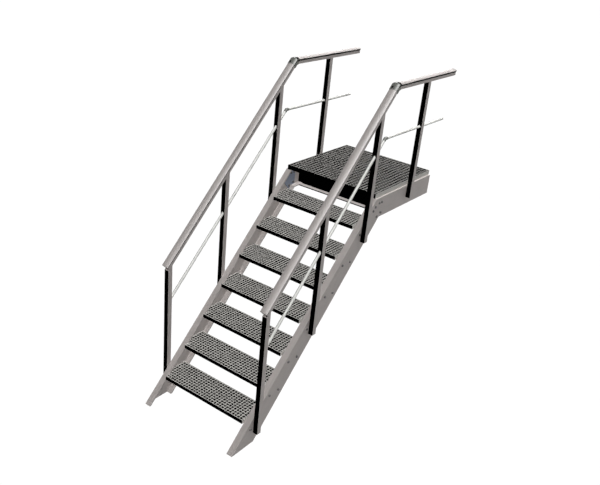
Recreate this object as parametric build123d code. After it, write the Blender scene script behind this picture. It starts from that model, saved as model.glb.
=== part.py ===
from build123d import *
import math
import os

# Straight stair in glass-reinforced plastic: seven open mesh treads and a mesh landing
# between two channel stringers, with a handrail and a knee rail on each side.
# All sizes are in millimetres. While the pieces are shaped, Y = 0 is the front edge of
# the first tread and Z = 0 is the floor. Everything is then moved so that the origin is
# the middle of the rear face of the landing, where the stair is fastened.

# flight
RISE = 200.0
GOING = 200.0
FIRST_RISE = 204.0
TREAD_COUNT = 7
TREAD_DEPTH = 250.0
TREAD_THICKNESS = 30.0

# stringer channels
STAIR_WIDTH = 900.0
CHANNEL_DEPTH = 168.0
CHANNEL_FLANGE = 52.0
CHANNEL_WALL = 9.0
CHANNEL_INNER_RADIUS = 5.0
CHANNEL_OUTER_RADIUS = 1.5
NOSING_ABOVE_CHANNEL = 29.6

# landing
LANDING_TOP = 1623.0
LANDING_FRONT = 1420.0
LANDING_BACK = 2312.0
LANDING_THICKNESS = 38.0
LANDING_LEDGE = 14.0
BEAM_FRONT_FACE = 1597.0
BEAM_FLANGE = 52.0

# mesh of the treads and the landing: every third bar line
MESH_PITCH = 26.3
MESH_STEP = 3
BAR_WIDTH = 7.0

# posts
POST_SIZE = 40.0
POST_WALL = 4.0
POST_FRONTS = [66.0, 658.0, 1250.0, 1906.0]
POST_FEET = [87.0, 683.0, 1271.0, 1481.0]

# handrail
RAIL_BODY_WIDTH = 48.0
RAIL_BODY_HEIGHT = 24.0
RAIL_CAP_WIDTH = 62.0
RAIL_CAP_EDGE = 38.5
RAIL_HEIGHT = 48.5
RAIL_WALL = 4.0
RAIL_UNDERSIDE_LANDING = 2455.0
RAIL_UNDERSIDE_FLIGHT = 1020.0
RAIL_FRONT = 76.0
RAIL_BACK = 2357.0
RAIL_CORNER_REACH = 36.0
RAIL_CORNER_REACH_LEVEL = 14.0
RAIL_CORNER_SKIN = 3.0

# knee rail
ROD_DIAMETER = 22.0
ROD_HOLE_GAP = 0.4
ROD_LANDING_HEIGHT = 2093.0
ROD_FLIGHT_HEIGHT = 718.0
ROD_BACK = 2311.0
ROD_BEND_REACH = 22.0
ROD_BEND_DIAMETER = 26.0

# splice plates inside each knee
SPLICE_REACH = 72.5
SPLICE_HEIGHT = 138.0
SPLICE_THICKNESS = 8.0

# angle cleats under the treads
CLEAT_LEG_DOWN = 60.0
CLEAT_LEG_ACROSS = 50.0
CLEAT_WALL = 6.0
CLEAT_START = 8.0
CLEAT_LENGTH = 157.0
CLEAT_GAP = 0.5

# derived
SLOPE = RISE / GOING
ANGLE = math.atan2(RISE, GOING)
COS = math.cos(ANGLE)
SIN = math.sin(ANGLE)
HALF = STAIR_WIDTH / 2
WEB_INNER = HALF - CHANNEL_WALL
FLANGE_INNER = HALF - CHANNEL_FLANGE
POST_CENTRE = HALF + POST_SIZE / 2
CHANNEL_TOP_AT_ZERO = FIRST_RISE - NOSING_ABOVE_CHANNEL / COS
LANDING_UNDERSIDE = LANDING_TOP - LANDING_THICKNESS
CHANNEL_MIDDLE = LANDING_UNDERSIDE - CHANNEL_DEPTH / 2
ORIGIN_Y = LANDING_BACK
ORIGIN_Z = CHANNEL_MIDDLE


def slope_y(height, offset):
    """Y where a line parallel to the flight, at height `offset` over Y = 0, reaches `height`."""
    return (height - offset) / SLOPE


# the tread's corners stop where they would meet the stringer's flanges
NOTCH_SIDE = FLANGE_INNER - 4.0
NOTCH_DEPTH = (NOSING_ABOVE_CHANNEL + CHANNEL_WALL) / SIN + 7.0
BACK_TRIM_AT_ZERO = CHANNEL_TOP_AT_ZERO - (CHANNEL_DEPTH - CHANNEL_WALL - 3.0) / COS

KNEE_TOP_Y = slope_y(LANDING_UNDERSIDE, CHANNEL_TOP_AT_ZERO)
KNEE_LOW_Y = slope_y(LANDING_UNDERSIDE - CHANNEL_DEPTH, CHANNEL_TOP_AT_ZERO - CHANNEL_DEPTH / COS)
KNEE_Y = (KNEE_TOP_Y + KNEE_LOW_Y) / 2


def side_prism(points, x_from, x_to):
    """Solid from a closed outline in the YZ plane, between two X positions."""
    outline = Polyline(*[(0, y, z) for y, z in points], close=True)
    face = make_face(outline)
    solid = extrude(face, amount=x_to - x_from, dir=(1, 0, 0))
    return Pos(x_from, 0, 0) * solid


def block(x0, x1, y0, y1, z0, z1):
    """Box between two corners."""
    box = Box(x1 - x0, y1 - y0, z1 - z0)
    return Pos((x0 + x1) / 2, (y0 + y1) / 2, (z0 + z1) / 2) * box


def mitre_region(knee_y, knee_z, before):
    """Everything before or after the plane that halves the bend of the flight at a knee."""
    lean = math.tan(ANGLE / 2)
    low = knee_z - 2500.0
    high = knee_z + 1500.0
    y_low = knee_y - (low - knee_z) * lean
    y_high = knee_y - (high - knee_z) * lean
    far = -3000.0 if before else 6000.0
    points = [(y_low, low), (far, low), (far, high), (y_high, high)]
    return side_prism(points, -800.0, 800.0)


def channel_section():
    """Channel section: web on local X = 0, flanges towards +X, top flange at local Y = 0."""
    corners = [
        (0, 0),
        (CHANNEL_FLANGE, 0),
        (CHANNEL_FLANGE, CHANNEL_WALL),
        (CHANNEL_WALL, CHANNEL_WALL),
        (CHANNEL_WALL, CHANNEL_DEPTH - CHANNEL_WALL),
        (CHANNEL_FLANGE, CHANNEL_DEPTH - CHANNEL_WALL),
        (CHANNEL_FLANGE, CHANNEL_DEPTH),
        (0, CHANNEL_DEPTH),
    ]
    face = make_face(Polyline(*corners, close=True))
    inner = [v for v in face.vertices() if abs(v.X - CHANNEL_WALL) < 0.1]
    face = fillet(inner, CHANNEL_INNER_RADIUS)
    outer = [v for v in face.vertices() if abs(v.X) < 0.1]
    return fillet(outer, CHANNEL_OUTER_RADIUS)


def along(section, origin, direction, length):
    """Extrude a section, local X across the stair and local Y downwards, along a direction."""
    plane = Plane(origin=origin, x_dir=(1, 0, 0), z_dir=direction)
    return extrude(plane * section, amount=length)


def flight_stringer():
    start_y = slope_y(-400.0, CHANNEL_TOP_AT_ZERO)
    body = along(channel_section(), (-HALF, start_y, -400.0), (0, COS, SIN), 3200.0)
    body = body & mitre_region(KNEE_Y, CHANNEL_MIDDLE, True)
    return body & block(-800, 800, -1000, 3000, 0, 3000)


def landing_stringer():
    body = along(channel_section(), (-HALF, 1200.0, LANDING_UNDERSIDE), (0, 1, 0), LANDING_BACK - 1200.0)
    return body & mitre_region(KNEE_Y, CHANNEL_MIDDLE, False)


def splice_plate():
    half = SPLICE_HEIGHT / 2
    lean = half * math.tan(ANGLE / 2)
    points = [
        (KNEE_Y - lean, CHANNEL_MIDDLE + half),
        (KNEE_Y + SPLICE_REACH, CHANNEL_MIDDLE + half),
        (KNEE_Y + SPLICE_REACH, CHANNEL_MIDDLE - half),
        (KNEE_Y + lean, CHANNEL_MIDDLE - half),
        (KNEE_Y - SPLICE_REACH * COS + half * SIN, CHANNEL_MIDDLE - SPLICE_REACH * SIN - half * COS),
        (KNEE_Y - SPLICE_REACH * COS - half * SIN, CHANNEL_MIDDLE - SPLICE_REACH * SIN + half * COS),
    ]
    return side_prism(points, -WEB_INNER, -WEB_INNER + SPLICE_THICKNESS)


def mesh_panel(x0, x1, y0, y1, z0, z1, columns, rows):
    """Panel with square openings between its bar lines, centred in its outline."""
    panel = block(x0, x1, y0, y1, z0, z1)
    cell = MESH_STEP * MESH_PITCH
    start_x = (x0 + x1) / 2 - columns * cell / 2
    start_y = (y0 + y1) / 2 - rows * cell / 2
    hole = cell - BAR_WIDTH
    holes = []
    for i in range(columns):
        for j in range(rows):
            cx = start_x + (i + 0.5) * cell
            cy = start_y + (j + 0.5) * cell
            holes.append(Pos(cx, cy, (z0 + z1) / 2) * Box(hole, hole, z1 - z0 + 10))
    return panel - holes


def tread(number):
    y0 = (number - 1) * GOING
    top = FIRST_RISE + (number - 1) * RISE
    side = WEB_INNER - CLEAT_GAP
    panel = mesh_panel(-side, side, y0, y0 + TREAD_DEPTH, top - TREAD_THICKNESS, top, 11, 3)
    front = block(NOTCH_SIDE, 600, y0 - 10, y0 + NOTCH_DEPTH, top - 100, top + 100)
    back = side_prism(
        [
            (y0, BACK_TRIM_AT_ZERO + y0 * SLOPE),
            (y0 + 400, BACK_TRIM_AT_ZERO + (y0 + 400) * SLOPE),
            (y0 + 400, BACK_TRIM_AT_ZERO + y0 * SLOPE),
        ],
        NOTCH_SIDE,
        600.0,
    )
    return panel - [front, back, mirror(front, about=Plane.YZ), mirror(back, about=Plane.YZ)]


def landing_panel():
    side = HALF - LANDING_LEDGE
    return mesh_panel(-side, side, LANDING_FRONT, LANDING_BACK, LANDING_UNDERSIDE, LANDING_TOP, 11, 11)


def cross_beam(face_y, outward):
    """Channel across the landing. Its web's outer face is at face_y, its flanges point the other
    way: outward is -1 where the web's plain side faces the back of the stair."""
    low = LANDING_UNDERSIDE - CHANNEL_DEPTH
    top = LANDING_UNDERSIDE
    ends = WEB_INNER - CLEAT_GAP
    flange_ends = FLANGE_INNER - 1.0
    web_from = face_y if outward > 0 else face_y - CHANNEL_WALL
    web = block(-ends, ends, web_from, web_from + CHANNEL_WALL, low, top)
    cope = [
        block(flange_ends, 600, web_from - 5, web_from + CHANNEL_WALL + 5, top - CHANNEL_WALL - 5.5, top + 5),
        block(flange_ends, 600, web_from - 5, web_from + CHANNEL_WALL + 5, low - 5, low + CHANNEL_WALL + 5.5),
    ]
    web = web - cope - [mirror(c, about=Plane.YZ) for c in cope]
    tip = web_from + CHANNEL_WALL - BEAM_FLANGE
    upper = block(-flange_ends, flange_ends, tip, web_from + CHANNEL_WALL, top - CHANNEL_WALL, top)
    lower = block(-flange_ends, flange_ends, tip, web_from + CHANNEL_WALL, low, low + CHANNEL_WALL)
    return web + upper + lower


def rod(origin, direction, length, diameter):
    plane = Plane(origin=origin, x_dir=(1, 0, 0), z_dir=direction)
    return extrude(plane * Circle(diameter / 2), amount=length)


ROD_KNEE_Y = slope_y(ROD_LANDING_HEIGHT, ROD_FLIGHT_HEIGHT)
ROD_START_Y = POST_FRONTS[0] + POST_SIZE / 2
RAIL_KNEE_Y = slope_y(RAIL_UNDERSIDE_LANDING, RAIL_UNDERSIDE_FLIGHT)
RAIL_MIDDLE = RAIL_HEIGHT / 2


def flight_rod(diameter):
    start = (-POST_CENTRE, ROD_START_Y, ROD_FLIGHT_HEIGHT + ROD_START_Y * SLOPE)
    reach = (ROD_KNEE_Y - ROD_START_Y) / COS - ROD_BEND_REACH
    return rod(start, (0, COS, SIN), reach, diameter)


def landing_rod(diameter):
    start_y = ROD_KNEE_Y + ROD_BEND_REACH
    return rod((-POST_CENTRE, start_y, ROD_LANDING_HEIGHT), (0, 1, 0), ROD_BACK - start_y, diameter)


def rod_bend():
    """Short bent sleeve between the sloping and the level rod."""
    overlap = 40.0
    lower_y = ROD_KNEE_Y - ROD_BEND_REACH * COS
    lower_z = ROD_LANDING_HEIGHT - ROD_BEND_REACH * SIN
    lower = rod((-POST_CENTRE, lower_y, lower_z), (0, COS, SIN), ROD_BEND_REACH + overlap, ROD_BEND_DIAMETER)
    lower = lower & mitre_region(ROD_KNEE_Y, ROD_LANDING_HEIGHT, True)
    upper_start = (-POST_CENTRE, ROD_KNEE_Y - overlap, ROD_LANDING_HEIGHT)
    upper = rod(upper_start, (0, 1, 0), ROD_BEND_REACH + overlap, ROD_BEND_DIAMETER)
    upper = upper & mitre_region(ROD_KNEE_Y, ROD_LANDING_HEIGHT, False)
    return lower + upper


def rail_section(grow, wall):
    """Handrail section: flat-sided body below, its sides flaring out to a wider cap with a
    rounded top. Local Y is down, local Y = 0 is the underside, so the top is at negative Y."""
    body = RAIL_BODY_WIDTH / 2 + grow - wall
    cap = RAIL_CAP_WIDTH / 2 + grow - wall
    low = grow - wall
    neck = -RAIL_BODY_HEIGHT
    edge = -RAIL_CAP_EDGE
    top = -RAIL_HEIGHT - grow + wall
    left = [(-body, low), (-body, neck), (-cap, edge)]
    lines = Polyline((cap, edge), (body, neck), (body, low), *left)
    arc = ThreePointArc((-cap, edge), (0, top), (cap, edge))
    return make_face([lines, arc])


def rail_path(section, flight, reach_from, reach_to):
    """Length of handrail before or after the knee, measured from the knee along the rail."""
    knee = (-POST_CENTRE, RAIL_KNEE_Y, RAIL_UNDERSIDE_LANDING)
    if flight:
        start = (knee[0], knee[1] - reach_from * COS, knee[2] - reach_from * SIN)
        return along(section, start, (0, COS, SIN), reach_from - reach_to)
    start = (knee[0], knee[1] + reach_from, knee[2])
    return along(section, start, (0, 1, 0), reach_to - reach_from)


RAIL_FLIGHT_LENGTH = (RAIL_KNEE_Y - RAIL_FRONT) / COS


def flight_rail():
    outer = rail_path(rail_section(0, 0), True, RAIL_FLIGHT_LENGTH, RAIL_CORNER_REACH)
    inner = rail_path(rail_section(0, RAIL_WALL), True, RAIL_FLIGHT_LENGTH - RAIL_WALL, 0)
    return outer - inner


def landing_rail():
    reach = RAIL_BACK - RAIL_KNEE_Y
    outer = rail_path(rail_section(0, 0), False, RAIL_CORNER_REACH_LEVEL, reach)
    inner = rail_path(rail_section(0, RAIL_WALL), False, 0, reach - RAIL_WALL)
    return outer - inner


def rail_corner():
    """Bent fitting that joins the sloping and the level handrail."""
    section = rail_section(RAIL_CORNER_SKIN, 0)
    lower = rail_path(section, True, RAIL_CORNER_REACH, -60.0)
    lower = lower & mitre_region(RAIL_KNEE_Y, RAIL_UNDERSIDE_LANDING, True)
    upper = rail_path(section, False, -60.0, RAIL_CORNER_REACH_LEVEL)
    upper = upper & mitre_region(RAIL_KNEE_Y, RAIL_UNDERSIDE_LANDING, False)
    return lower + upper


def post(index):
    """Square tube on the outer side of the stringer, cut along the handrail's underside."""
    y0 = POST_FRONTS[index]
    y1 = y0 + POST_SIZE
    x0 = -HALF - POST_SIZE
    x1 = -HALF
    foot = POST_FEET[index]
    high = RAIL_UNDERSIDE_LANDING
    tube = block(x0, x1, y0, y1, foot, high)
    wall = POST_WALL
    tube = tube - block(x0 + wall, x1 - wall, y0 + wall, y1 - wall, foot - 10, high + 10)
    if index < 3:
        cut = [
            (y0 - 50, RAIL_UNDERSIDE_FLIGHT + (y0 - 50) * SLOPE),
            (y1 + 50, RAIL_UNDERSIDE_FLIGHT + (y1 + 50) * SLOPE),
            (y1 + 50, high + 200),
            (y0 - 50, high + 200),
        ]
        tube = tube - side_prism(cut, -800, 800)
        drill = flight_rod(ROD_DIAMETER + 2 * ROD_HOLE_GAP)
    else:
        drill = landing_rod(ROD_DIAMETER + 2 * ROD_HOLE_GAP)
    return tube - drill


def cleat(number):
    """Angle under one end of a tread, cut clear of the upper flange."""
    y0 = (number - 1) * GOING + CLEAT_START
    y1 = y0 + CLEAT_LENGTH
    top = FIRST_RISE + (number - 1) * RISE - TREAD_THICKNESS
    down = block(-WEB_INNER, -WEB_INNER + CLEAT_WALL, y0, y1, top - CLEAT_LEG_DOWN, top)
    across = block(-WEB_INNER, -WEB_INNER + CLEAT_LEG_ACROSS, y0, y1, top - CLEAT_WALL, top)
    offset = CHANNEL_TOP_AT_ZERO - (CHANNEL_WALL + CHANNEL_INNER_RADIUS) / COS - CLEAT_GAP
    cut = [
        (y0 - 60, offset + (y0 - 60) * SLOPE),
        (y1 + 60, offset + (y1 + 60) * SLOPE),
        (y1 + 60, offset + (y1 + 400) * SLOPE),
        (y0 - 60, offset + (y1 + 400) * SLOPE),
    ]
    return (down + across) - side_prism(cut, -800, 800)


os.makedirs("parts", exist_ok=True)


def write(shape, node):
    moved = Pos(0, -ORIGIN_Y, -ORIGIN_Z) * shape
    solids = moved.solids()
    result = solids[0] if len(solids) == 1 else Compound(children=list(solids))
    export_step(result, "parts/" + node + ".step")


def write_pair(shape, left_node, right_node):
    write(shape, left_node)
    write(mirror(shape, about=Plane.YZ), right_node)


write_pair(flight_stringer(), "stringer_left_flight", "stringer_right_flight")
write_pair(landing_stringer(), "stringer_left_landing", "stringer_right_landing")
write_pair(splice_plate(), "splice_plate_left", "splice_plate_right")

for number in range(1, TREAD_COUNT + 1):
    write(tread(number), "tread_%d" % number)

write(landing_panel(), "landing_grating")
write(cross_beam(BEAM_FRONT_FACE, 1), "landing_beam_front")
write(cross_beam(LANDING_BACK, -1), "landing_beam_rear")

for index in range(4):
    write_pair(post(index), "post_left_%d" % (index + 1), "post_right_%d" % (index + 1))

write_pair(flight_rail(), "handrail_left_flight", "handrail_right_flight")
write_pair(landing_rail(), "handrail_left_landing", "handrail_right_landing")
write_pair(rail_corner(), "handrail_corner_left", "handrail_corner_right")
write_pair(flight_rod(ROD_DIAMETER), "knee_rail_left_flight", "knee_rail_right_flight")
write_pair(landing_rod(ROD_DIAMETER), "knee_rail_left_landing", "knee_rail_right_landing")
write_pair(rod_bend(), "knee_rail_bend_left", "knee_rail_bend_right")

cleats = [cleat(number) for number in range(1, TREAD_COUNT + 1)]
write_pair(Compound(children=cleats), "tread_cleats_left", "tread_cleats_right")
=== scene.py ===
import math

import bmesh
import bpy
from mathutils import Matrix, Vector


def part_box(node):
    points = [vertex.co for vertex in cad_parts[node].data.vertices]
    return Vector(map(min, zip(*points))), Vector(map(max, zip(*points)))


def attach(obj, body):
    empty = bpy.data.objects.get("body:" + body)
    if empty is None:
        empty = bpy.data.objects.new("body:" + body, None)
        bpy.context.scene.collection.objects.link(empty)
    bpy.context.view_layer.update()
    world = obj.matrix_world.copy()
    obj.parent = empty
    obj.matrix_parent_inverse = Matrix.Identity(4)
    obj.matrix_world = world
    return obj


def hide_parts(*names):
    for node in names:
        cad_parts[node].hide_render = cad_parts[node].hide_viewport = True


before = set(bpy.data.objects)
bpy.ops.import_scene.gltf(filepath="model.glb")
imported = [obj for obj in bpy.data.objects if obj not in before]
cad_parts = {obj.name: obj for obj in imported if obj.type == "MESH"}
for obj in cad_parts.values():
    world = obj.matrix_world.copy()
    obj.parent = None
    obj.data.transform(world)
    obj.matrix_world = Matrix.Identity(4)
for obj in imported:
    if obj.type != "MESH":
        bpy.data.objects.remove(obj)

bl_info = {
    "name": "Mesh Tread Stair",
    "version": (1, 0, 0),
    "blender": (4, 5, 0),
    "location": "View3D > Sidebar > Stair",
    "description": "Mesh treads and landing, bolts and finishes for a glass-reinforced plastic stair",
    "category": "Object",
}

# Places in the frame

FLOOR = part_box("stringer_left_flight")[0].z
HALF_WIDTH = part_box("stringer_right_flight")[1].x
RISE = 0.200
GOING = 0.200
SLOPE = math.atan2(RISE, GOING)
TREADS = ["tread_%d" % number for number in range(1, 8)]
WEB_THICKNESS = 0.009
FLANGE_REACH = 0.052
NOTCH_SIDE = HALF_WIDTH - FLANGE_REACH - 0.004
NOTCH_DEPTH = 0.0616
FLANGE_DROP = 0.168
NOSING_ABOVE_CHANNEL = 0.0296
LOWER_FLANGE_CLEARANCE = 0.012
KNEE_Y = -0.8552
KNEE_Z = 0.0
NARROWEST_GAP = 0.001
WELD = 0.00002

# Parts of a face's normal that decide which finish the face gets, and so where the painted shade and the
# painted light go

FRONT_LEAN = -0.93
LEVEL_LEAN = 0.9
WALL_LEAN = 0.3
OUTSIDE_SPARE = 0.0008
CAP_LEAN = (0.8, 0.95)
CAP_DROOP = -0.35
# Side of the painted light on the knee rails
LIT_SIDE = (0.66, 0.0, 0.75)


def closing_flange_height():
    """Height under a tread's top, at its front edge, where the lower flange's plane passes."""
    return (NOSING_ABOVE_CHANNEL + FLANGE_DROP - LOWER_FLANGE_CLEARANCE) / math.cos(SLOPE)


# Settings of the add-on


def length(label, text, value):
    return bpy.props.FloatProperty(
        name=label, description=text, default=value, min=0.0, unit="LENGTH", precision=4
    )


def colour(label, text, value):
    return bpy.props.FloatVectorProperty(
        name=label, description=text, default=value, size=3, min=0.0, max=1.0, subtype="COLOR"
    )


def amount(label, text, value, high=10.0):
    return bpy.props.FloatProperty(name=label, description=text, default=value, min=0.0, max=high)


class StairMeshSettings(bpy.types.PropertyGroup):
    """Sizes of the moulded mesh of the treads and the landing."""

    tread_pitch: length("Tread pitch", "Distance between neighbouring bars of a tread", 0.02626)
    landing_pitch: length("Landing pitch", "Distance between neighbouring bars of the landing", 0.0340)
    tread_bar: length("Tread bar", "Width of a tread's bar at the walking surface", 0.0054)
    landing_bar: length("Landing bar", "Width of a landing bar at the walking surface", 0.0036)
    taper: length("Taper", "How much narrower a bar is at the underside", 0.0012)
    tread_first_x: length("Tread first bar across", "First bar's middle from the tread's left end", 0.0086)
    tread_first_y: length("Tread first bar back", "First bar's middle from the front edge", 0.0052)
    landing_first_x: length("Landing first bar across", "First bar's middle from the left edge", 0.0)
    landing_first_y: length("Landing first bar back", "First bar's middle from the front edge", 0.0120)
    edge_strip: length("Edge strip", "Width of the closed strip round a panel", 0.0025)
    end_strip: length("Notch strip", "Thickness of the strip that closes a tread's notch", 0.005)


class StairBoltSettings(bpy.types.PropertyGroup):
    """Sizes of the bolts."""

    across_flats: length("Across flats", "Width of a bolt head", 0.017)
    head_height: length("Head height", "Height of a bolt head", 0.0064)
    washer: length("Washer", "Outer diameter of a washer", 0.021)
    washer_thickness: length("Washer thickness", "Thickness of a washer", 0.002)
    thread: length("Thread", "Diameter of the thread end inside the nut", 0.010)


class StairFinishSettings(bpy.types.PropertyGroup):
    """Colours of the stair's materials."""

    profile: colour("Profile", "Pultruded channels and posts", (0.420, 0.386, 0.372))
    mesh: colour("Mesh", "Moulded mesh", (0.378, 0.369, 0.349))
    # Painted shade: the walls between the bars are darkened as the shade deep in the wells
    well_shade: colour("Mesh wells", "Walls between the bars, dulled by dirt", (0.090, 0.087, 0.084))
    rail: colour("Handrail", "Handrail profile", (0.425, 0.392, 0.378))
    # Painted light and shade on the knee rails: light on the side towards the light, dark on the side away
    # from it
    rod: colour("Knee rail", "Round rods on their bleached side", (0.700, 0.700, 0.672))
    rod_shaded: colour("Knee rail, dull side", "Round rods away from the weather", (0.200, 0.200, 0.192))
    splice: colour("Splice plate", "Plates inside the knees", (0.210, 0.240, 0.310))
    fitting: colour("Fitting", "Corner fittings", (0.135, 0.140, 0.126))
    # Painted shade: the faces towards the stair's foot are black as if no light reached them
    front: colour("Front faces", "Coat of the faces towards the stair's foot", (0.001, 0.001, 0.001))
    # Painted shade under the handrail's cap
    cap_shade: colour("Groove", "Underside of the handrail's cap", (0.036, 0.036, 0.036))
    # Painted shade: the joints and plugs at the handrail corners are black as if unlit
    joint: colour("Joint", "Joints and plugs of the handrail corners", (0.003, 0.003, 0.003))
    steel: colour("Bolts", "Bolts and washers", (0.125, 0.123, 0.120))


class StairFittingSettings(bpy.types.PropertyGroup):
    """Sizes of the black joint and the plug at each handrail corner, whose black is painted shade."""

    joint_gap: length("Joint gap", "Distance of the joint from the fitting's mitre", 0.008)
    joint_height: length("Joint height", "How far the joint stands out of the fitting", 0.0004)
    plug: length("Plug", "Diameter of the plug in the corner fitting", 0.020)
    plug_height: length("Plug height", "How far the plug stands out of the fitting", 0.0020)
    plug_side: length("Plug side", "Distance of the plug from the crown, to the left", 0.011)
    plug_drop: length("Plug drop", "Distance of the plug from the knee, down the slope", 0.0185)


class StairStageSettings(bpy.types.PropertyGroup):
    """Light and floor."""

    floor_glow: amount("Floor glow", "Brightness of the floor for the camera alone", 0.91, 1.0)
    floor: colour("Floor", "Colour of the floor under the light", (0.09, 0.09, 0.09))
    world: amount("Sky", "Strength of the light from all sides", 0.10)
    key_lamp: amount("Key lamp", "Strength of the high lamp", 0.6)
    fill_lamp: amount("Fill lamp", "Strength of the lamp that throws no shadow", 3.0)
    back_lamp: amount("Back lamp", "Strength of the lamp on the back and the left side", 1.5)
    gloss_lamp: amount("Gloss lamp", "Strength of the lamp that makes highlights alone", 10.0, 50.0)


# Helpers for node trees


def socket(tree, kind, label, default=None):
    made = tree.interface.new_socket(name=label, in_out="INPUT", socket_type=kind)
    if default is not None:
        made.default_value = default


def shader_tree(name):
    material = bpy.data.materials.new(name)
    material.use_nodes = True
    tree = material.node_tree
    tree.nodes.clear()
    output = tree.nodes.new("ShaderNodeOutputMaterial")
    surface = tree.nodes.new("ShaderNodeBsdfPrincipled")
    tree.links.new(surface.outputs["BSDF"], output.inputs["Surface"])
    return material, tree, surface


def value_range(tree, source, low, high, from_low=0.0, from_high=1.0):
    node = tree.nodes.new("ShaderNodeMapRange")
    node.inputs["From Min"].default_value = from_low
    node.inputs["From Max"].default_value = from_high
    node.inputs["To Min"].default_value = low
    node.inputs["To Max"].default_value = high
    tree.links.new(source, node.inputs["Value"])
    return node.outputs["Result"]


def noise(tree, vector, scale, detail=3.0, roughness=0.55):
    node = tree.nodes.new("ShaderNodeTexNoise")
    node.inputs["Scale"].default_value = scale
    node.inputs["Detail"].default_value = detail
    node.inputs["Roughness"].default_value = roughness
    tree.links.new(vector, node.inputs["Vector"])
    return node.outputs["Fac"]


def turned(tree, vector, angle, stretch):
    """Object coordinates turned about X so that local Y runs along a profile, then squeezed."""
    turn = tree.nodes.new("ShaderNodeMapping")
    turn.inputs["Rotation"].default_value = (-angle, 0.0, 0.0)
    tree.links.new(vector, turn.inputs["Vector"])
    squeeze = tree.nodes.new("ShaderNodeMapping")
    squeeze.inputs["Scale"].default_value = (1.0, stretch, 1.0)
    tree.links.new(turn.outputs["Vector"], squeeze.inputs["Vector"])
    return squeeze.outputs["Vector"]


def math_node(tree, operation, *items):
    """Result of a sum of numbers and sockets."""
    node = tree.nodes.new("ShaderNodeMath")
    node.operation = operation
    for index, item in enumerate(items):
        if isinstance(item, (int, float)):
            node.inputs[index].default_value = item
        else:
            tree.links.new(item, node.inputs[index])
    return node.outputs["Value"]


def mixed(tree, factor, first, second):
    """Colour between first and second. Each is a colour or a colour socket."""
    node = tree.nodes.new("ShaderNodeMix")
    node.data_type = "RGBA"
    tree.links.new(factor, node.inputs["Factor"])
    for name, item in (("A", first), ("B", second)):
        target = [s for s in node.inputs if s.name == name and s.type == "RGBA"][0]
        if isinstance(item, bpy.types.NodeSocket):
            tree.links.new(item, target)
        else:
            target.default_value = (*item, 1.0)
    return [s for s in node.outputs if s.type == "RGBA"][0]


def scaled(value, factor):
    return tuple(min(1.0, channel * factor) for channel in value)


# Finishes


def lit(tree, coordinates, skin, shaded):
    """Painted light and shade: the skin on the side that faces the light, the shaded colour on the side away
    from it.
    """
    facing = tree.nodes.new("ShaderNodeVectorMath")
    facing.operation = "DOT_PRODUCT"
    tree.links.new(coordinates.outputs["Normal"], facing.inputs[0])
    facing.inputs[1].default_value = LIT_SIDE
    return mixed(tree, value_range(tree, facing.outputs["Value"], 0.0, 1.0, 0.0, 0.5), shaded, skin)


def profile_finish(name, base, angle, low=0.42, high=0.56, streak=0.10, shine=0.3, shaded=None):
    """Pultruded plastic: long faint fibre streaks, a slightly uneven satin skin."""
    material, tree, surface = shader_tree(name)
    coordinates = tree.nodes.new("ShaderNodeTexCoord")
    along = turned(tree, coordinates.outputs["Object"], angle, 0.02)
    fibre = noise(tree, along, 260.0, 4.0)
    cloud = noise(tree, coordinates.outputs["Object"], 7.0, 2.0)
    grain = noise(tree, coordinates.outputs["Object"], 900.0, 2.0)
    pattern = math_node(tree, "MULTIPLY_ADD", fibre, 0.6, math_node(tree, "MULTIPLY", cloud, 0.4))
    share = value_range(tree, pattern, 0.0, 1.0, 0.35, 0.65)
    skin = mixed(tree, share, scaled(base, 1.0 - streak), scaled(base, 1.0 + streak))
    # Painted light and shade, where a shaded colour is given
    if shaded:
        skin = lit(tree, coordinates, skin, shaded)
    tree.links.new(skin, surface.inputs["Base Color"])
    tree.links.new(value_range(tree, cloud, low, high), surface.inputs["Roughness"])
    surface.inputs["Specular IOR Level"].default_value = shine
    bump = tree.nodes.new("ShaderNodeBump")
    bump.inputs["Strength"].default_value = 0.12
    bump.inputs["Distance"].default_value = 0.0004
    height = math_node(tree, "ADD", fibre, math_node(tree, "MULTIPLY", grain, 0.4))
    tree.links.new(height, bump.inputs["Height"])
    tree.links.new(bump.outputs["Normal"], surface.inputs["Normal"])
    return material


def mesh_finish(name, base):
    """Moulded mesh: gritted walking surface and smoother bar sides, with the bar sides painted lighter than
    the walking surface as painted light against their shade.
    """
    material, tree, surface = shader_tree(name)
    coordinates = tree.nodes.new("ShaderNodeTexCoord")
    place = coordinates.outputs["Object"]
    split = tree.nodes.new("ShaderNodeSeparateXYZ")
    tree.links.new(coordinates.outputs["Normal"], split.inputs["Vector"])
    upward = value_range(tree, split.outputs["Z"], 0.0, 1.0, 0.5, 0.8)
    grit = noise(tree, place, 1400.0, 2.0, 0.7)
    cloud = noise(tree, place, 16.0, 3.0)
    share = value_range(tree, grit, 0.0, 1.0, 0.35, 0.65)
    top = mixed(tree, share, scaled(base, 0.86), scaled(base, 1.16))
    # Painted light: the bar sides are lighter than the walking surface to lift their shade
    side = mixed(tree, cloud, scaled(base, 1.15), scaled(base, 1.35))
    tree.links.new(mixed(tree, upward, side, top), surface.inputs["Base Color"])
    surface.inputs["Specular IOR Level"].default_value = 0.2
    tree.links.new(value_range(tree, upward, 0.55, 0.85), surface.inputs["Roughness"])
    bump = tree.nodes.new("ShaderNodeBump")
    bump.inputs["Strength"].default_value = 0.5
    bump.inputs["Distance"].default_value = 0.0006
    tree.links.new(math_node(tree, "MULTIPLY", grit, upward), bump.inputs["Height"])
    tree.links.new(bump.outputs["Normal"], surface.inputs["Normal"])
    return material


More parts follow.
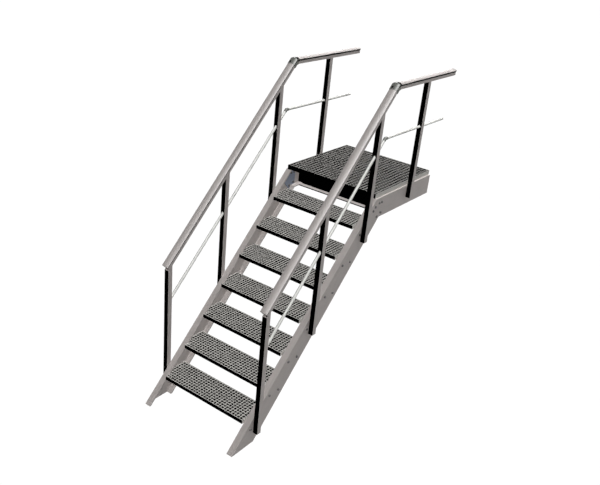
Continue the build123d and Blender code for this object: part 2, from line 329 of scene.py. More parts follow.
def shade_finish(name, base):
    """Painted shade: a dead dark surface without a highlight."""
    material, tree, surface = shader_tree(name)
    coordinates = tree.nodes.new("ShaderNodeTexCoord")
    cloud = noise(tree, coordinates.outputs["Object"], 30.0, 3.0)
    tree.links.new(mixed(tree, cloud, scaled(base, 0.5), scaled(base, 1.5)), surface.inputs["Base Color"])
    tree.links.new(value_range(tree, cloud, 0.75, 0.95), surface.inputs["Roughness"])
    surface.inputs["Specular IOR Level"].default_value = 0.0
    return material


def steel_finish(name, base):
    """Dull stainless steel with fine turning marks."""
    material, tree, surface = shader_tree(name)
    coordinates = tree.nodes.new("ShaderNodeTexCoord")
    marks = noise(tree, coordinates.outputs["Object"], 700.0, 3.0)
    skin = mixed(tree, marks, scaled(base, 0.8), scaled(base, 1.15))
    tree.links.new(skin, surface.inputs["Base Color"])
    tree.links.new(value_range(tree, marks, 0.32, 0.5), surface.inputs["Roughness"])
    surface.inputs["Metallic"].default_value = 0.9
    return material


def finishes():
    """All materials by name, made once."""
    wanted = bpy.context.scene.stair_finish
    level, upright = 0.0, math.pi / 2
    makers = {
        "profile_sloping": lambda n: profile_finish(n, wanted.profile, SLOPE),
        "profile_level": lambda n: profile_finish(n, wanted.profile, level),
        "profile_upright": lambda n: profile_finish(n, wanted.profile, upright),
        "rail_sloping": lambda n: profile_finish(n, wanted.rail, SLOPE, 0.52, 0.58, 0.04, 0.42),
        "rail_level": lambda n: profile_finish(n, wanted.rail, level, 0.52, 0.58, 0.04, 0.25),
        "rod_sloping": lambda n: profile_finish(n, wanted.rod, SLOPE, 0.48, 0.56, 0.08, 0.5, wanted.rod_shaded),
        "rod_level": lambda n: profile_finish(n, wanted.rod, level, 0.48, 0.56, 0.08, 0.5, wanted.rod_shaded),
        "splice_plate": lambda n: profile_finish(n, wanted.splice, SLOPE, 0.4, 0.55, 0.12),
        "fitting_moulded": lambda n: profile_finish(n, wanted.fitting, level, 0.40, 0.46, 0.06, 0.25),
        "mesh_gritted": lambda n: mesh_finish(n, wanted.mesh),
        "mesh_well_shade": lambda n: profile_finish(n, wanted.well_shade, upright, 0.6, 0.8, 0.15, 0.1),
        "front_painted_shade": lambda n: shade_finish(n, wanted.front),
        "cap_underside_shade": lambda n: shade_finish(n, wanted.cap_shade),
        "joint_black": lambda n: shade_finish(n, wanted.joint),
        "bolt_steel": lambda n: steel_finish(n, wanted.steel),
    }
    for name, make in makers.items():
        if name not in bpy.data.materials:
            make(name)
    return {name: bpy.data.materials[name] for name in makers}


# Helpers for meshes


def mesh_object(name, verts, faces):
    data = bpy.data.meshes.new(name)
    data.from_pydata([tuple(v) for v in verts], [], faces)
    data.update()
    made = bpy.data.objects.new(name, data)
    bpy.context.scene.collection.objects.link(made)
    return made


def between_outlines(count):
    """Faces of a solid between two outlines of `count` points each."""
    faces = [tuple(range(count)), tuple(range(2 * count - 1, count - 1, -1))]
    for i in range(count):
        j = (i + 1) % count
        faces.append((i, i + count, j + count, j))
    return faces


def prism(outline, x_from, x_to):
    """Vertices and faces of a solid from an outline in the YZ plane, between two X positions."""
    verts = [(x_from, y, z) for y, z in outline] + [(x_to, y, z) for y, z in outline]
    return verts, between_outlines(len(outline))


def joined(name, parts):
    """One object from several (vertices, faces) pairs, normals pointing outwards."""
    verts, faces = [], []
    for part_verts, part_faces in parts:
        shift = len(verts)
        verts += part_verts
        faces += [tuple(i + shift for i in face) for face in part_faces]
    made = mesh_object(name, verts, faces)
    work = bmesh.new()
    work.from_mesh(made.data)
    bmesh.ops.recalc_face_normals(work, faces=work.faces)
    work.to_mesh(made.data)
    work.free()
    return made


def baked(thing, name):
    """A plain mesh of the object with its modifiers worked in."""
    graph = bpy.context.evaluated_depsgraph_get()
    data = bpy.data.meshes.new_from_object(thing.evaluated_get(graph), depsgraph=graph)
    data.name = name
    made = bpy.data.objects.new(name, data)
    bpy.context.scene.collection.objects.link(made)
    bpy.data.objects.remove(thing)
    return made


def painted(thing, material, front_shade=None, rim=None):
    """Give the object the one material, and the painted shade, black as if unlit, to its faces towards the
    foot of the stair and to the level faces in front of Y position `rim`."""
    data = thing.data
    data.materials.clear()
    data.materials.append(material)
    if front_shade:
        data.materials.append(front_shade)
    for face in data.polygons:
        front = face.normal.y < FRONT_LEAN
        if rim is not None and face.normal.z > LEVEL_LEAN and face.center.y < rim:
            front = True
        face.material_index = 1 if front_shade and front else 0
    return thing


def shade_cap_underside(thing, painted_shade):
    """Give the slanted underside of a handrail's cap a painted shade, dark as if unlit."""
    data = thing.data
    data.materials.append(painted_shade)
    number = len(data.materials) - 1
    ups = (Vector((0.0, 0.0, 1.0)), Vector((0.0, -math.sin(SLOPE), math.cos(SLOPE))))
    for face in data.polygons:
        slanted = CAP_LEAN[0] < abs(face.normal.x) < CAP_LEAN[1]
        if slanted and min(face.normal.dot(up) for up in ups) < CAP_DROOP:
            face.material_index = number


def shade_wells(thing, well_shade, sides):
    """Give the walls between a panel's bars a painted shade, darkened as the shade deep in the wells. Walls
    at X positions `sides` are outside.
    """
    data = thing.data
    data.materials.append(well_shade)
    number = len(data.materials) - 1
    for face in data.polygons:
        across = abs(face.normal.z) < WALL_LEAN and abs(face.normal.y) < WALL_LEAN
        inside = min(abs(abs(face.center.x) - side) for side in sides) > OUTSIDE_SPARE
        if face.material_index == 0 and across and inside:
            face.material_index = number


def set_inputs(modifier, values):
    """Give a Geometry Nodes modifier its inputs by the labels of its tree."""
    for item in modifier.node_group.interface.items_tree:
        if item.item_type == "SOCKET" and item.in_out == "INPUT" and item.name in values:
            modifier[item.identifier] = values[item.name]


def finished(piece):
    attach(piece, "root")
    return piece


# Mesh panel


def panel_tree():
    """Moulded mesh panel: a grid whose lines are the bars' edges, open between the bars and
    drawn up to the panel's thickness. A narrow closed strip runs all round its edge."""
    name = "mesh_panel"
    if name in bpy.data.node_groups:
        return bpy.data.node_groups[name]
    tree = bpy.data.node_groups.new(name, "GeometryNodeTree")
    tree.interface.new_socket(name="Geometry", in_out="OUTPUT", socket_type="NodeSocketGeometry")
    lengths = ("Width", "Depth", "Thickness", "Pitch", "Bar Top", "Bar Bottom", "First X", "First Y", "Edge")
    for label in lengths:
        socket(tree, "NodeSocketFloat", label, 0.1)
    socket(tree, "NodeSocketMaterial", "Material")
    nodes, links = tree.nodes, tree.links
    given = nodes.new("NodeGroupInput").outputs
    result = nodes.new("NodeGroupOutput")

    def calc(operation, *items):
        return math_node(tree, operation, *items)

    def bars(size, first):
        """How many bars fall on the panel."""
        room = calc("SUBTRACT", size, first)
        room = calc("ADD", room, calc("MULTIPLY", given["Bar Top"], 0.5))
        return calc("ADD", calc("FLOOR", calc("DIVIDE", room, given["Pitch"])), 1.0)

    def line_place(line, lines, first, bar, size):
        """Where a grid line lies: the edges of the bars in turn, inside the strip round the panel."""
        step = calc("MULTIPLY", calc("SUBTRACT", line, 3.0), 0.5)
        whole = calc("FLOOR", step)
        side = calc("SUBTRACT", calc("MULTIPLY", calc("SUBTRACT", step, whole), 2.0), 0.5)
        middle = calc("ADD", first, calc("MULTIPLY", whole, given["Pitch"]))
        place = calc("ADD", middle, calc("MULTIPLY", side, bar))
        kept = calc("MAXIMUM", given["Edge"], calc("MINIMUM", place, calc("SUBTRACT", size, given["Edge"])))
        last = calc("GREATER_THAN", line, calc("SUBTRACT", lines, 1.5))
        inner = calc("MULTIPLY", kept, calc("SUBTRACT", calc("GREATER_THAN", line, 0.5), last))
        return calc("MULTIPLY_ADD", last, size, inner)

    def sheet_place(line_x, line_y, bar, height):
        combine = nodes.new("ShaderNodeCombineXYZ")
        links.new(line_place(line_x, lines_x, given["First X"], bar, given["Width"]), combine.inputs["X"])
        links.new(line_place(line_y, lines_y, given["First Y"], bar, given["Depth"]), combine.inputs["Y"])
        if isinstance(height, (int, float)):
            combine.inputs["Z"].default_value = height
        else:
            links.new(height, combine.inputs["Z"])
        return combine.outputs["Vector"]

    lines_x = calc("ADD", calc("MULTIPLY", bars(given["Width"], given["First X"]), 2.0), 6.0)
    lines_y = calc("ADD", calc("MULTIPLY", bars(given["Depth"], given["First Y"]), 2.0), 6.0)
    grid = nodes.new("GeometryNodeMeshGrid")
    links.new(lines_x, grid.inputs["Vertices X"])
    links.new(lines_y, grid.inputs["Vertices Y"])

    index = nodes.new("GeometryNodeInputIndex").outputs["Index"]
    line_x = calc("FLOOR", calc("DIVIDE", calc("ADD", index, 0.5), lines_y))
    line_y = calc("SUBTRACT", index, calc("MULTIPLY", line_x, lines_y))
    numbered = grid.outputs["Mesh"]
    for label, line in (("line_x", line_x), ("line_y", line_y)):
        keep = nodes.new("GeometryNodeStoreNamedAttribute")
        keep.data_type, keep.domain = "FLOAT", "POINT"
        keep.inputs["Name"].default_value = label
        links.new(numbered, keep.inputs["Geometry"])
        links.new(line, keep.inputs["Value"])
        numbered = keep.outputs["Geometry"]

    def stored(label):
        node = nodes.new("GeometryNodeInputNamedAttribute")
        node.data_type = "FLOAT"
        node.inputs["Name"].default_value = label
        return node.outputs["Attribute"]

    low_sheet = nodes.new("GeometryNodeSetPosition")
    links.new(numbered, low_sheet.inputs["Geometry"])
    low_place = sheet_place(stored("line_x"), stored("line_y"), given["Bar Bottom"], 0.0)
    links.new(low_place, low_sheet.inputs["Position"])

    cells_y = calc("SUBTRACT", lines_y, 1.0)
    cell_x = calc("FLOOR", calc("DIVIDE", calc("ADD", index, 0.5), cells_y))
    cell_y = calc("SUBTRACT", index, calc("MULTIPLY", cell_x, cells_y))

    def gap(cell, lines, first, size):
        """1 for a cell of some width between two bars, 0 for a bar and for the strip at the edge."""
        between = calc("LESS_THAN", calc("MODULO", cell, 2.0), 0.5)
        before_last = calc("LESS_THAN", cell, calc("SUBTRACT", lines, 2.5))
        inside = calc("MULTIPLY", calc("GREATER_THAN", cell, 0.5), before_last)
        start = line_place(cell, lines, first, given["Bar Top"], size)
        end = line_place(calc("ADD", cell, 1.0), lines, first, given["Bar Top"], size)
        wide = calc("GREATER_THAN", calc("SUBTRACT", end, start), NARROWEST_GAP)
        return calc("MULTIPLY", calc("MULTIPLY", between, inside), wide)

    opened = nodes.new("GeometryNodeDeleteGeometry")
    opened.domain = "FACE"
    links.new(low_sheet.outputs["Geometry"], opened.inputs["Geometry"])
    across = gap(cell_x, lines_x, given["First X"], given["Width"])
    back = gap(cell_y, lines_y, given["First Y"], given["Depth"])
    links.new(calc("MULTIPLY", across, back), opened.inputs["Selection"])

    rise = nodes.new("ShaderNodeCombineXYZ")
    links.new(given["Thickness"], rise.inputs["Z"])
    draw = nodes.new("GeometryNodeExtrudeMesh")
    draw.mode = "FACES"
    draw.inputs["Individual"].default_value = False
    links.new(opened.outputs["Geometry"], draw.inputs["Mesh"])
    links.new(rise.outputs["Vector"], draw.inputs["Offset"])
    upper = nodes.new("GeometryNodeSetPosition")
    links.new(draw.outputs["Mesh"], upper.inputs["Geometry"])
    links.new(draw.outputs["Top"], upper.inputs["Selection"])
    top_place = sheet_place(stored("line_x"), stored("line_y"), given["Bar Top"], given["Thickness"])
    links.new(top_place, upper.inputs["Position"])

    under = nodes.new("GeometryNodeFlipFaces")
    links.new(opened.outputs["Geometry"], under.inputs["Mesh"])
    both = nodes.new("GeometryNodeJoinGeometry")
    links.new(upper.outputs["Geometry"], both.inputs["Geometry"])
    links.new(under.outputs["Mesh"], both.inputs["Geometry"])
    welded = nodes.new("GeometryNodeMergeByDistance")
    welded.inputs["Distance"].default_value = WELD
    links.new(both.outputs["Geometry"], welded.inputs["Geometry"])
    real = nodes.new("GeometryNodeRealizeInstances")
    links.new(welded.outputs["Geometry"], real.inputs["Geometry"])
    flat = nodes.new("GeometryNodeSetShadeSmooth")
    flat.inputs["Shade Smooth"].default_value = False
    links.new(real.outputs["Geometry"], flat.inputs["Geometry"])
    paint = nodes.new("GeometryNodeSetMaterial")
    links.new(flat.outputs["Geometry"], paint.inputs["Geometry"])
    links.new(given["Material"], paint.inputs["Material"])
    links.new(paint.outputs["Geometry"], result.inputs["Geometry"])
    return tree


def mesh_panel(name, width, depth, thickness, pitch, bar, first_x, first_y):
    """Panel with its lower left front corner at the origin."""
    sizes = bpy.context.scene.stair_mesh
    base = mesh_object(name + "_base", [(0, 0, 0)], [])
    modifier = base.modifiers.new("mesh", "NODES")
    modifier.node_group = panel_tree()
    set_inputs(
        modifier,
        {
            "Width": width,
            "Depth": depth,
            "Thickness": thickness,
            "Pitch": pitch,
            "Bar Top": bar,
            "Bar Bottom": bar - sizes.taper,
            "First X": first_x,
            "First Y": first_y,
            "Edge": sizes.edge_strip,
            "Material": finishes()["mesh_gritted"],
        },
    )
    made = baked(base, name)
    for label in ("line_x", "line_y"):
        if label in made.data.attributes:
            made.data.attributes.remove(made.data.attributes[label])
    return made


def cut(thing, tool, operation, name):
    modifier = thing.modifiers.new("shape", "BOOLEAN")
    modifier.operation = operation
    modifier.solver = "EXACT"
    modifier.object = tool
    made = baked(thing, name)
    bpy.data.objects.remove(tool)
    return made


def one_tread(width, depth, thickness):
    """Tread with its lower front edge's middle at the origin."""
    sizes = bpy.context.scene.stair_mesh
    first = (sizes.tread_first_x, sizes.tread_first_y)
    panel = mesh_panel("tread_blank", width, depth, thickness, sizes.tread_pitch, sizes.tread_bar, *first)
    panel.data.transform(Matrix.Translation((-width / 2, 0, 0)))
    end, deep = width / 2, NOTCH_DEPTH
    strips = []
    for side in (-1, 1):
        inner, outer = side * (NOTCH_SIDE - sizes.end_strip), side * NOTCH_SIDE
        outline = [(0, 0), (deep, 0), (deep, thickness), (0, thickness)]
        strips.append(prism(outline, inner, outer))
    panel = cut(panel, joined("notch_strips", strips), "UNION", "tread_closed")
    spare = 0.02
    low = thickness - closing_flange_height()
    reach = depth + 0.2
    tools = []
    for side in (-1, 1):
        inner, outer = side * NOTCH_SIDE, side * (end + spare)
        notch = [(-spare, -spare), (deep, -spare), (deep, thickness + spare), (-spare, thickness + spare)]
        heel = [(0.0, low), (reach, low + reach), (reach, low)]
        tools.append(prism(notch, inner, outer))
        tools.append(prism(heel, inner, outer))
    return cut(panel, joined("tread_cuts", tools), "DIFFERENCE", "tread_shape")


class STAIR_OT_treads(bpy.types.Operator):
    """Make the seven mesh treads in place of the plain ones"""

    bl_idname = "stair.treads"
    bl_label = "Mesh Treads"

    def execute(self, context):
        low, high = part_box(TREADS[0])
        made = finishes()
        shape = one_tread(high.x - low.x, high.y - low.y, high.z - low.z)
        sizes = context.scene.stair_mesh
        # Painted shade on the tread fronts and on the strip of the top along the front edge
        painted(shape, made["mesh_gritted"], made["front_painted_shade"], sizes.edge_strip)
        # Painted shade on the walls between the bars
        shade_wells(shape, made["mesh_well_shade"], (high.x, NOTCH_SIDE))
        for name in TREADS:
            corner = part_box(name)[0]
            data = shape.data.copy()
            data.name = "mesh_" + name
            data.transform(Matrix.Translation((0, corner.y, corner.z)))
            piece = bpy.data.objects.new("mesh_" + name, data)
            context.scene.collection.objects.link(piece)
            finished(piece)
            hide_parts(name)
        bpy.data.objects.remove(shape)
        return {"FINISHED"}


class STAIR_OT_landing(bpy.types.Operator):
    """Make the mesh panel of the landing"""

    bl_idname = "stair.landing"
    bl_label = "Mesh Landing"

    def execute(self, context):
        sizes = context.scene.stair_mesh
        low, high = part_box("landing_grating")
        size = high - low
        first = (sizes.landing_first_x, sizes.landing_first_y)
        piece = mesh_panel("mesh_landing", *size, sizes.landing_pitch, sizes.landing_bar, *first)
        piece.data.transform(Matrix.Translation(low))
        made = finishes()
        # Painted shade on the landing's front faces and on the strip of the top along the front edge
        painted(piece, made["mesh_gritted"], made["front_painted_shade"], low.y + sizes.edge_strip)
        # Painted shade on the walls between the bars
        shade_wells(piece, made["mesh_well_shade"], (high.x,))
        finished(piece)
        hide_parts("landing_grating")
        return {"FINISHED"}


# Bolts


def ring(radius, height, count=20):
    step = 2 * math.pi / count
    return [(radius * math.cos(step * k), radius * math.sin(step * k), height) for k in range(count)]


def hexagon(radius, height):
    return ring(radius, height, 6)


def stacked(rings):
    """Closed shape through rings of equal count, first ring at the bottom."""
    count = len(rings[0])
    verts = [v for r in rings for v in r]
    faces = [tuple(reversed(range(count)))]
    for level in range(len(rings) - 1):
        for k in range(count):
            n = (k + 1) % count
            a, b = level * count, (level + 1) * count
            faces.append((a + k, a + n, b + n, b + k))
    top = (len(rings) - 1) * count
    faces.append(tuple(range(top, top + count)))
    return verts, faces


WASHER_BEVEL = 0.0003
HEAD_BEVEL = 0.0008
THREAD_LENGTH = 0.004


def bolt_head(name, with_thread):
    """Bolt head or nut on a washer, standing on the XY plane."""
    sizes = bpy.context.scene.stair_bolt
    flat = sizes.washer_thickness
    rim = sizes.washer / 2
    corner = sizes.across_flats / math.sqrt(3)
    top = flat + sizes.head_height
    bevel = HEAD_BEVEL
    parts = [
        stacked([ring(rim, 0), ring(rim, flat - WASHER_BEVEL), ring(rim - WASHER_BEVEL, flat)]),
        stacked([hexagon(corner, flat), hexagon(corner, top - bevel), hexagon(corner - bevel * 1.3, top)]),
    ]
    if with_thread:
        radius = sizes.thread / 2
        end = top + THREAD_LENGTH
        levels = ((radius, top), (radius, end - bevel), (radius - bevel, end))
        parts.append(stacked([ring(wide, height, 12) for wide, height in levels]))
    return joined(name, parts)


def bolt_tree():
    """Bolts on the vertices of the mesh, realised and given their material."""
    name = "bolts_on_points"
    if name in bpy.data.node_groups:
        return bpy.data.node_groups[name]
    tree = bpy.data.node_groups.new(name, "GeometryNodeTree")
    tree.interface.new_socket(name="Geometry", in_out="OUTPUT", socket_type="NodeSocketGeometry")
    socket(tree, "NodeSocketGeometry", "Geometry")
    socket(tree, "NodeSocketObject", "Bolt")
    socket(tree, "NodeSocketVector", "Turn")
    socket(tree, "NodeSocketFloat", "Spin Spread", 1.0)
    socket(tree, "NodeSocketInt", "Seed", 3)
    socket(tree, "NodeSocketMaterial", "Material")
    nodes, links = tree.nodes, tree.links
    given = nodes.new("NodeGroupInput").outputs
    result = nodes.new("NodeGroupOutput")
    pattern = nodes.new("GeometryNodeObjectInfo")
    links.new(given["Bolt"], pattern.inputs["Object"])
    spin = nodes.new("FunctionNodeRandomValue")
    spin.data_type = "FLOAT"
    spin.inputs[2].default_value = 0.0
    links.new(given["Spin Spread"], spin.inputs[3])
    links.new(given["Seed"], spin.inputs["Seed"])
    about = nodes.new("ShaderNodeCombineXYZ")
    links.new(spin.outputs[1], about.inputs["Z"])
    spun = nodes.new("FunctionNodeEulerToRotation")
    links.new(about.outputs["Vector"], spun.inputs["Euler"])
    tip = nodes.new("FunctionNodeEulerToRotation")
    links.new(given["Turn"], tip.inputs["Euler"])
    turn = nodes.new("FunctionNodeRotateRotation")
    turn.rotation_space = "LOCAL"
    links.new(tip.outputs["Rotation"], turn.inputs["Rotation"])
    links.new(spun.outputs["Rotation"], turn.inputs["Rotate By"])
    place = nodes.new("GeometryNodeInstanceOnPoints")
    links.new(given["Geometry"], place.inputs["Points"])
    links.new(pattern.outputs["Geometry"], place.inputs["Instance"])
    links.new(turn.outputs["Rotation"], place.inputs["Rotation"])
    real = nodes.new("GeometryNodeRealizeInstances")
    links.new(place.outputs["Instances"], real.inputs["Geometry"])
    paint = nodes.new("GeometryNodeSetMaterial")
    links.new(real.outputs["Geometry"], paint.inputs["Geometry"])
    links.new(given["Material"], paint.inputs["Material"])
    links.new(paint.outputs["Geometry"], result.inputs["Geometry"])
    return tree


def bolts(name, points, outward, with_thread=False, seed=3):
    """Bolts at points of the frame, heads towards +X or -X."""
    head = bolt_head(name + "_pattern", with_thread)
    base = mesh_object(name + "_base", points, [])
    modifier = base.modifiers.new("bolts", "NODES")
    modifier.node_group = bolt_tree()
    set_inputs(
        modifier,
        {
            "Bolt": head,
            "Turn": (0.0, outward * math.pi / 2, 0.0),
            "Spin Spread": math.pi / 3,
            "Seed": seed,
            "Material": finishes()["bolt_steel"],
        },
    )
    made = painted(baked(base, name), finishes()["bolt_steel"])
    bpy.data.objects.remove(head)
    return finished(made)


TREAD_BOLT_BACK = (0.030, 0.133)
TREAD_BOLT_DROP = 0.067
KNEE_BOLTS = ((0.014, 0.040), (0.052, 0.040), (0.051, -0.049))
CLEAT_WALL = 0.006
SPLICE_THICKNESS = 0.008


def tread_bolt_places(x):
    places = []
    for name in TREADS:
        low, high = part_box(name)
        for back in TREAD_BOLT_BACK:
            places.append((x, low.y + back, high.z - TREAD_BOLT_DROP))
    return places


def knee_bolt_places(x):
    """Six bolts through a splice plate: three along each arm, mirrored about the mitre."""
    places = []
    cos, sin = math.cos(SLOPE), math.sin(SLOPE)
    for along, up in KNEE_BOLTS:
        places.append((x, KNEE_Y + along, KNEE_Z + up))
        places.append((x, KNEE_Y - along * cos - up * sin, KNEE_Z - along * sin + up * cos))
    return places


class STAIR_OT_bolts(bpy.types.Operator):
    """Make the bolts of the treads and of the knees"""

    bl_idname = "stair.bolts"
    bl_label = "Bolts"

    def execute(self, context):
        web = HALF_WIDTH - WEB_THICKNESS
        for side, word in ((-1, "left"), (1, "right")):
            outer = side * HALF_WIDTH
            bolts("tread_bolts_" + word, tread_bolt_places(outer), side, seed=11 + side)
            bolts("knee_bolts_" + word, knee_bolt_places(outer), side, seed=21 + side)
            inner = side * (web - CLEAT_WALL)
            bolts("tread_nuts_" + word, tread_bolt_places(inner), -side, True, seed=31 + side)
            inner = side * (web - SPLICE_THICKNESS)
            bolts("knee_nuts_" + word, knee_bolt_places(inner), -side, True, seed=41 + side)
        return {"FINISHED"}


# Handrail corners

RAIL_BODY = 0.024
RAIL_NECK = 0.024
RAIL_CAP = 0.031
RAIL_CAP_EDGE = 0.0385
RAIL_TOP = 0.0485
CORNER_SKIN = 0.003
CORNER_REACH_LEVEL = 0.014
JOINT_INSET = 0.0001
JOINT_PAST_FITTING = 0.0002
PLUG_SUNK = 0.0006
PLUG_ROOT = 0.001


def crown_radius(half_width, rise):
    """Radius of an arch of this half width and rise."""
    return (half_width * half_width + rise * rise) / (2 * rise)


def rail_outline(grow, steps=12):
    """Outline of the handrail as (across, up) pairs from its underside, all round."""
    cap, edge, top = RAIL_CAP + grow, RAIL_CAP_EDGE, RAIL_TOP + grow
    radius = crown_radius(cap, top - edge)
    reach = math.asin(cap / radius)
    crown = []
    for k in range(steps + 1):
        angle = reach - 2 * reach * k / steps
        crown.append((radius * math.sin(angle), top - radius + radius * math.cos(angle)))
    body = RAIL_BODY + grow
    return [(-body, -grow), (body, -grow), (body, RAIL_NECK), *crown, (-body, RAIL_NECK)]


def corner_joint(side, wanted):
    """Black joint round the cap on the fitting's level arm, its front edge parallel to the mitre. Its black
    is painted shade, where the shaded end of the level rail shows round the fitting.
    """
    low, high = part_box("handrail_corner_" + side)
    middle = (low.x + high.x) / 2
    start = high.y - CORNER_REACH_LEVEL + wanted.joint_gap
    end = high.y + JOINT_PAST_FITTING
    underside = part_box("handrail_%s_landing" % side)[0].z
    widest = RAIL_CAP + CORNER_SKIN - JOINT_INSET
    highest = RAIL_TOP + CORNER_SKIN - JOINT_INSET
    outline = rail_outline(CORNER_SKIN + wanted.joint_height)[2:]
    outline = [(max(-widest, min(widest, x)), min(highest, z)) for x, z in outline]
    lean = math.tan(SLOPE / 2)
    verts = [(middle + x, start - z * lean, underside + z) for x, z in outline]
    verts += [(middle + x, end, underside + z) for x, z in outline]
    return joined("corner_joint_" + side, [(verts, between_outlines(len(outline)))])


def corner_plug(side, wanted):
    """Low dome left of the crown on the fitting's sloping arm, black as painted shade where a shaded end face
    shows.
    """
    low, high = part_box("handrail_corner_" + side)
    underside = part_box("handrail_%s_landing" % side)[0].z
    top = RAIL_TOP + CORNER_SKIN
    radius = crown_radius(RAIL_CAP + CORNER_SKIN, top - RAIL_CAP_EDGE)
    across = wanted.plug_side
    lean = across / radius
    up = top - radius + math.sqrt(radius * radius - across * across)
    knee = Vector(((low.x + high.x) / 2, high.y - CORNER_REACH_LEVEL, underside))
    along = Vector((0.0, math.cos(SLOPE), math.sin(SLOPE)))
    above = Vector((0.0, -math.sin(SLOPE), math.cos(SLOPE)))
    out = (above * math.sqrt(1.0 - lean * lean) - Vector((lean, 0.0, 0.0))).normalized()
    place = knee - along * wanted.plug_drop + above * up - Vector((across, 0.0, 0.0)) - out * PLUG_SUNK
    rim, crown = wanted.plug / 2, wanted.plug_height
    dome = ((rim, -PLUG_ROOT), (rim, PLUG_SUNK), (rim * 0.8, crown), (rim * 0.3, crown * 1.2))
    verts, faces = stacked([ring(wide, height) for wide, height in dome])
    turn = out.to_track_quat("Z", "Y")
    return joined("corner_plug_" + side, [([place + turn @ Vector(v) for v in verts], faces)])


class STAIR_OT_corners(bpy.types.Operator):
    """Put the joint and the plug on each handrail corner"""

    bl_idname = "stair.corners"
    bl_label = "Handrail corners"

    def execute(self, context):
        wanted = context.scene.stair_fitting
        # Painted shade on the joints and plugs
        painted_shade = finishes()["joint_black"]
        for side in ("left", "right"):
            finished(painted(corner_joint(side, wanted), painted_shade))
            finished(painted(corner_plug(side, wanted), painted_shade))
        return {"FINISHED"}


# Finishes on the frame


def finish_for(node):
    """Name of the material for a node of the frame."""
    if node.startswith("stringer") or node.startswith("tread_cleats"):
        return "profile_sloping" if node.endswith("flight") else "profile_level"
    if node.startswith("landing_beam"):
        return "profile_level"
    if node.startswith("post"):
        return "profile_upright"
    if "bend" in node or "corner" in node:
        return "fitting_moulded"
    if node.startswith("handrail"):
        return "rail_sloping" if node.endswith("flight") else "rail_level"
    if node.startswith("knee_rail"):
        return "rod_sloping" if node.endswith("flight") else "rod_level"
    if node.startswith("splice"):
        return "splice_plate"
    return "mesh_gritted"


class STAIR_OT_finishes(bpy.types.Operator):
    """Give every piece of the frame its material"""

    bl_idname = "stair.finishes"
    bl_label = "Finishes"

    def execute(self, context):
        made = finishes()
        for name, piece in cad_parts.items():
            bare = name.startswith(("handrail", "knee_rail"))
            # Painted shade on the faces towards the stair's foot, on all but the handrails and knee rails
            painted(piece, made[finish_for(name)], None if bare else made["front_painted_shade"])
            if name.startswith("handrail"):
                # Painted shade on the slanted underside of the cap
                shade_cap_underside(piece, made["cap_underside_shade"])
        return {"FINISHED"}


# Stage

CAMERA_PLACE = (3.0773, -5.7124, 2.1623)
CAMERA_YAW = math.radians(33.894)
CAMERA_PITCH = math.radians(-26.414)
CAMERA_ROLL = math.radians(6.1215)
PICTURE_WIDTH = 600.0
PICTURE_HEIGHT = 485.0
FOCAL_PIXELS = 742.47
AXIS_ACROSS = 304.61
AXIS_DOWN = 264.93
SENSOR_MM = 36.0
FLOOR_REACH = 60.0
FARTHEST_SEEN = 200.0
LAMP_DISTANCE = 8.0
WIDE_LAMP = 30.0
NARROW_LAMP = 20.0
LAMP_SIDE = (0.30, 0.17, 0.94)
BACK_LAMP_SIDE = (-0.45, 0.85, 0.25)
GLOSS_LAMP_SIDE = (0.41, -0.18, 0.85)


def lamp(name, towards, strength, angle, shadow=True):
    """Sun whose light comes from the direction `towards`."""
    light = bpy.data.lights.new(name, "SUN")
    light.energy = strength
    light.use_shadow = shadow
    light.angle = math.radians(angle)
    made = bpy.data.objects.new(name, light)
    made.rotation_euler = Vector(towards).to_track_quat("Z", "Y").to_euler()
    made.location = Vector(towards).normalized() * LAMP_DISTANCE
    bpy.context.scene.collection.objects.link(made)
    return made


def camera_axes():
    """Right, up and backward directions of the camera, as columns."""
    yaw, pitch, roll = CAMERA_YAW, CAMERA_PITCH, CAMERA_ROLL
    forward = Vector((-math.sin(yaw) * math.cos(pitch), math.cos(yaw) * math.cos(pitch), math.sin(pitch)))
    level = Vector((math.cos(yaw), math.sin(yaw), 0.0))
    above = level.cross(forward)
    right = math.cos(roll) * level + math.sin(roll) * above
    up = -math.sin(roll) * level + math.cos(roll) * above
    return Matrix((right, up, -forward)).transposed()


def seen_by(tree, kinds):
    """1 for rays of any of these kinds, such as Is Camera Ray."""
    path = tree.nodes.new("ShaderNodeLightPath")
    total = path.outputs[kinds[0]]
    for kind in kinds[1:]:
        total = math_node(tree, "MAXIMUM", total, path.outputs[kind])
    return total


BACKGROUND_RAYS = ("Is Camera Ray", "Is Glossy Ray", "Is Transmission Ray")


def floor_finish(wanted):
    """Pale floor: white to the camera apart from the object's shadow, darker to the light."""
    material = bpy.data.materials.new("floor")
    material.use_nodes = True
    tree = material.node_tree
    tree.nodes.clear()
    output = tree.nodes.new("ShaderNodeOutputMaterial")
    both = tree.nodes.new("ShaderNodeAddShader")
    matt = tree.nodes.new("ShaderNodeBsdfDiffuse")
    matt.inputs["Color"].default_value = (*wanted.floor, 1.0)
    glow = tree.nodes.new("ShaderNodeEmission")
    strength = math_node(tree, "MULTIPLY", seen_by(tree, BACKGROUND_RAYS), wanted.floor_glow)
    tree.links.new(strength, glow.inputs["Strength"])
    tree.links.new(matt.outputs["BSDF"], both.inputs[0])
    tree.links.new(glow.outputs["Emission"], both.inputs[1])
    tree.links.new(both.outputs["Shader"], output.inputs["Surface"])
    return material


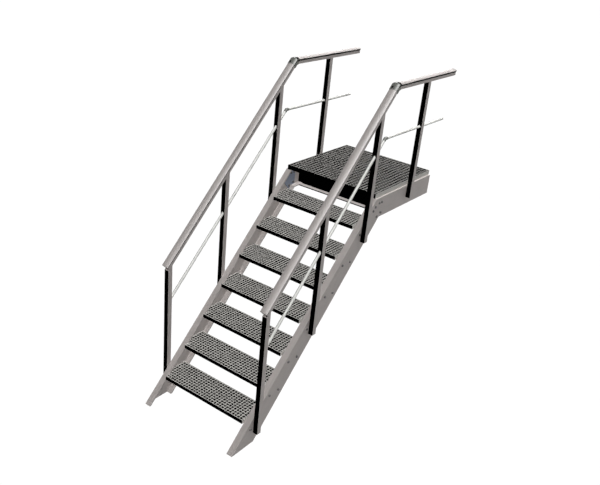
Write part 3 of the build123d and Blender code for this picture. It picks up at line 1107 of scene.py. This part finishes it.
class STAIR_OT_stage(bpy.types.Operator):
    """Make the floor, the lamps, the sky and the camera"""

    bl_idname = "stair.stage"
    bl_label = "Stage"

    def execute(self, context):
        scene = context.scene
        wanted = scene.stair_stage
        reach = FLOOR_REACH
        corners = [(-reach, -reach), (reach, -reach), (reach, reach), (-reach, reach)]
        floor = mesh_object("floor", [(x, y, FLOOR) for x, y in corners], [(0, 1, 2, 3)])
        floor.data.materials.append(floor_finish(wanted))

        world = bpy.data.worlds.new("studio")
        world.use_nodes = True
        tree = world.node_tree
        sky = tree.nodes["Background"]
        sky.inputs["Color"].default_value = (1.0, 1.0, 1.0, 1.0)
        seen = seen_by(tree, BACKGROUND_RAYS)
        span = tree.nodes.new("ShaderNodeMapRange")
        span.inputs["To Min"].default_value = wanted.world
        span.inputs["To Max"].default_value = 1.0
        tree.links.new(seen, span.inputs["Value"])
        tree.links.new(span.outputs["Result"], sky.inputs["Strength"])
        scene.world = world

        lamp("key_lamp", LAMP_SIDE, wanted.key_lamp, WIDE_LAMP)
        lamp("fill_lamp", LAMP_SIDE, wanted.fill_lamp, NARROW_LAMP, False)
        lamp("back_lamp", BACK_LAMP_SIDE, wanted.back_lamp, WIDE_LAMP, False)
        gloss = lamp("gloss_lamp", GLOSS_LAMP_SIDE, wanted.gloss_lamp, NARROW_LAMP, False)
        gloss.visible_diffuse = False

        lens = bpy.data.cameras.new("camera")
        lens.sensor_fit = "HORIZONTAL"
        lens.sensor_width = SENSOR_MM
        lens.lens = FOCAL_PIXELS * SENSOR_MM / PICTURE_WIDTH
        lens.shift_x = (PICTURE_WIDTH / 2 - AXIS_ACROSS) / PICTURE_WIDTH
        lens.shift_y = (AXIS_DOWN - PICTURE_HEIGHT / 2) / PICTURE_WIDTH
        lens.clip_end = FARTHEST_SEEN
        eye = bpy.data.objects.new("camera", lens)
        eye.matrix_world = Matrix.Translation(CAMERA_PLACE) @ camera_axes().to_4x4()
        scene.collection.objects.link(eye)
        scene.camera = eye
        scene.view_settings.view_transform = "Standard"
        return {"FINISHED"}


# Add-on


class STAIR_PT_panel(bpy.types.Panel):
    """Sidebar panel of the stair"""

    bl_label = "Mesh Tread Stair"
    bl_idname = "STAIR_PT_panel"
    bl_space_type = "VIEW_3D"
    bl_region_type = "UI"
    bl_category = "Stair"

    def draw(self, context):
        layout = self.layout
        for operator in OPERATORS:
            layout.operator(operator.bl_idname)
        for group in GROUPS:
            box = layout.box()
            settings = getattr(context.scene, group)
            for name in settings.bl_rna.properties.keys():
                if name not in ("rna_type", "name"):
                    box.prop(settings, name)


GROUPS = {
    "stair_mesh": StairMeshSettings,
    "stair_bolt": StairBoltSettings,
    "stair_fitting": StairFittingSettings,
    "stair_finish": StairFinishSettings,
    "stair_stage": StairStageSettings,
}
OPERATORS = (
    STAIR_OT_finishes,
    STAIR_OT_treads,
    STAIR_OT_landing,
    STAIR_OT_bolts,
    STAIR_OT_corners,
    STAIR_OT_stage,
)


def register():
    for name, group in GROUPS.items():
        bpy.utils.register_class(group)
        setattr(bpy.types.Scene, name, bpy.props.PointerProperty(type=group))
    for item in (*OPERATORS, STAIR_PT_panel):
        bpy.utils.register_class(item)


def unregister():
    for item in reversed((*OPERATORS, STAIR_PT_panel)):
        bpy.utils.unregister_class(item)
    for name, group in GROUPS.items():
        delattr(bpy.types.Scene, name)
        bpy.utils.unregister_class(group)


def main():
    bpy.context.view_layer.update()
    register()
    bpy.ops.stair.finishes()
    bpy.ops.stair.treads()
    bpy.ops.stair.landing()
    bpy.ops.stair.bolts()
    bpy.ops.stair.corners()
    bpy.ops.stair.stage()


if __name__ == "__main__":
    main()
